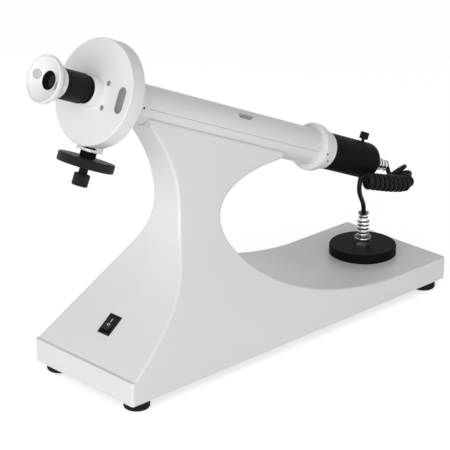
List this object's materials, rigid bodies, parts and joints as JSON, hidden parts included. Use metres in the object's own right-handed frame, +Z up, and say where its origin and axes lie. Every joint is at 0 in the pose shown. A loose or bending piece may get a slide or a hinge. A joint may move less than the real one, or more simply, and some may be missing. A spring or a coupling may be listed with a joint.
{
  "type": "polarimeter",
  "caption": "Bench polarimeter: an inclined optical tube with a lidded sample trough, dial drum and eyepiece on a waisted cast stand, with a lamp house and curly lead.",
  "frame": {"origin": "middle of the bounding box of everything but the curly lead, at the underside of the feet", "axes": "+X from the eyepiece end to the lamp end, +Y to the far side where the lid's hinge is, +Z up"},
  "size_m": [0.4867, 0.14, 0.3344],
  "materials": {
    "white_paint": "cast and turned aluminium under ivory white semi-gloss paint",
    "black_anodised": "black anodised, satin",
    "black_plastic": "moulded black plastic",
    "black_rubber": "matt black rubber",
    "cord_jacket": "satin black cord jacket",
    "nickel": "bright nickel plate",
    "steel": "machined steel",
    "brass": "machined brass",
    "dial_satin": "satin silvered scale with black graduations",
    "lens_glass": "polished glass",
    "polariser_film": "neutral polarising film between glasses",
    "circuit_board": "green circuit board",
    "lamp_diode": "clear amber diode body",
    "switch_rocker": "black rocker with white marks"
  },
  "bodies": {
    "stand": {"stand_casting": "white_paint", "bottom_plate": "black_plastic", "base_screws": "steel", "switch_body": "black_plastic", "power_gland": "black_plastic", "gland_nut": "black_plastic", "driver_board": "circuit_board", "socket_plate": "black_anodised", "base_socket": "nickel", "base_plug": "nickel", "lamp_socket": "nickel", "lamp_plug": "nickel", "cord_lead": "cord_jacket", "cord_coil": "cord_jacket", "cord_tail": "cord_jacket", "foot_front_near": "black_rubber", "foot_front_far": "black_rubber", "foot_rear_near": "black_rubber", "foot_rear_far": "black_rubber", "trough": "white_paint", "hinge_pin": "steel", "front_collar": "white_paint", "retaining_rings": "black_anodised", "tube_windows": "lens_glass", "rear_flange": "white_paint", "rear_ring": "white_paint", "polarising_plates": "polariser_film", "collar_screws": "steel", "lamp_house": "black_anodised", "lamp_holder": "black_anodised", "lamp_diode": "lamp_diode", "condenser_lens": "lens_glass", "dial_cover": "white_paint", "reading_glasses": "lens_glass", "cover_screws": "steel", "back_plate": "white_paint", "vernier_plates": "dial_satin", "shaft_housing": "white_paint", "shaft_bush": "black_anodised", "main_sleeve": "black_anodised", "objective_cell": "black_anodised", "objective_lens": "lens_glass"},
    "lid": {"tube_lid": "white_paint", "lid_tab": "white_paint"},
    "dial_wheel": {"dial": "dial_satin", "dial_gear": "brass", "analyser_cell": "black_anodised", "analyser": "polariser_film"},
    "handwheel_shaft": {"pinion_shaft": "steel", "handwheel": "black_anodised", "fine_knob": "black_anodised"},
    "eyepiece": {"draw_tube": "black_anodised", "eyepiece_lenses": "lens_glass"},
    "focus_ring": {"focus_sleeve": "black_anodised"},
    "shield": {"eye_shield": "white_paint", "magnifiers": "lens_glass", "shield_screw": "steel"},
    "rocker": {"switch_rocker": "switch_rocker"},
    "thumb": {"thumb_screw": "black_anodised"}
  },
  "joints": [
    {"name": "lid_hinge", "type": "hinge", "parent": "stand", "child": "lid", "pos_m": [-0.01403, 0.0203, 0.21805], "axis": [-0.9208, 0, 0.3899], "range_deg": [0, 105]},
    {"name": "dial_turn", "type": "hinge", "parent": "stand", "child": "dial_wheel", "pos_m": [-0.17046, 0, 0.28679], "axis": [0.9208, 0, -0.3899], "continuous": true},
    {"name": "handwheel_turn", "type": "hinge", "parent": "stand", "child": "handwheel_shaft", "pos_m": [-0.17869, 0, 0.24684], "axis": [-0.3899, 0, -0.9208], "continuous": true},
    {"name": "focus_turn", "type": "hinge", "parent": "eyepiece", "child": "focus_ring", "pos_m": [-0.20766, 0, 0.30255], "axis": [0.9208, 0, -0.3899], "range_deg": [-80, 80]},
    {"name": "eyepiece_slide", "type": "slide", "parent": "stand", "child": "eyepiece", "axis": [0.9208, 0, -0.3899], "range_m": [-0.0025, 0.0025]},
    {"name": "shield_swivel", "type": "hinge", "parent": "eyepiece", "child": "shield", "pos_m": [-0.22129, 0, 0.30832], "axis": [0.9208, 0, -0.3899], "range_deg": [-180, 180]},
    {"name": "switch_rock", "type": "hinge", "parent": "stand", "child": "rocker", "pos_m": [-0.16075, 0.0025, 0.05595], "axis": [0, 1, 0], "range_deg": [-16, 0]},
    {"name": "thumb_turn", "type": "hinge", "parent": "stand", "child": "thumb", "pos_m": [0.18247, 0, 0.15907], "axis": [0.3899, 0, 0.9208], "range_deg": [0, 360]}
  ],
  "couplings": [
    {"joint": "handwheel_turn", "follows": "dial_turn", "ratio": 6},
    {"joint": "focus_turn", "follows": "eyepiece_slide", "rad_per_m": 523.6}
  ]
}
